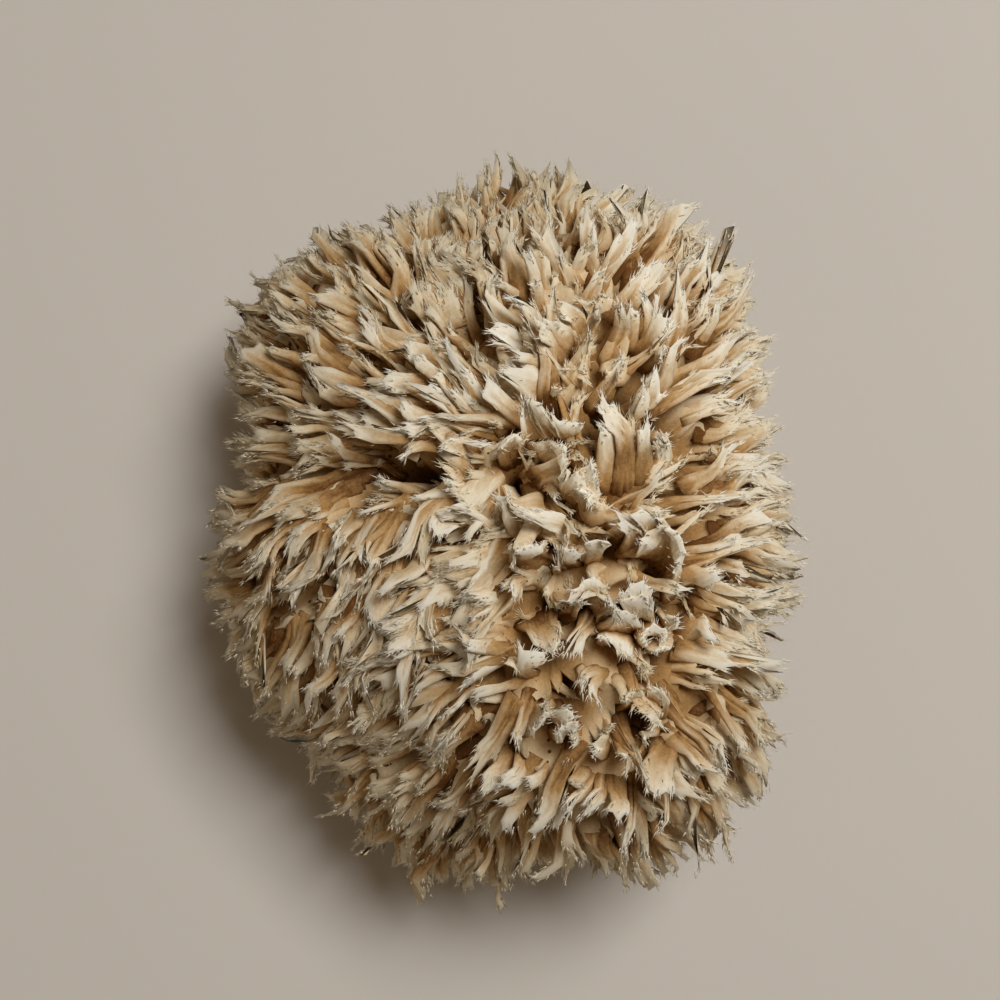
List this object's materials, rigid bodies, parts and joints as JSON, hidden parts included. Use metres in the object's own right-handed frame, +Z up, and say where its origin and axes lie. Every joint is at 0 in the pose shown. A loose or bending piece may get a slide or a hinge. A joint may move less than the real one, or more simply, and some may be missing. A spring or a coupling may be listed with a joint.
{
  "type": "sea sponge",
  "caption": "Dried natural wool sponge: a lobed dome of tufted skeleton with water vents, cut flat underneath so that it rests on a surface.",
  "frame": {"origin": "middle of the sponge's outline, on the flat cut that it rests on", "axes": "+Z up from the cut, +Y along the long side towards the north end, +X towards the side where the crest is"},
  "size_m": [0.0964, 0.1228, 0.0676],
  "materials": {
    "dried_sponge": "matte, cream at the frayed tips and amber in the depths"
  },
  "bodies": {
    "root": {"sponge": "dried_sponge"}
  },
  "joints": []
}
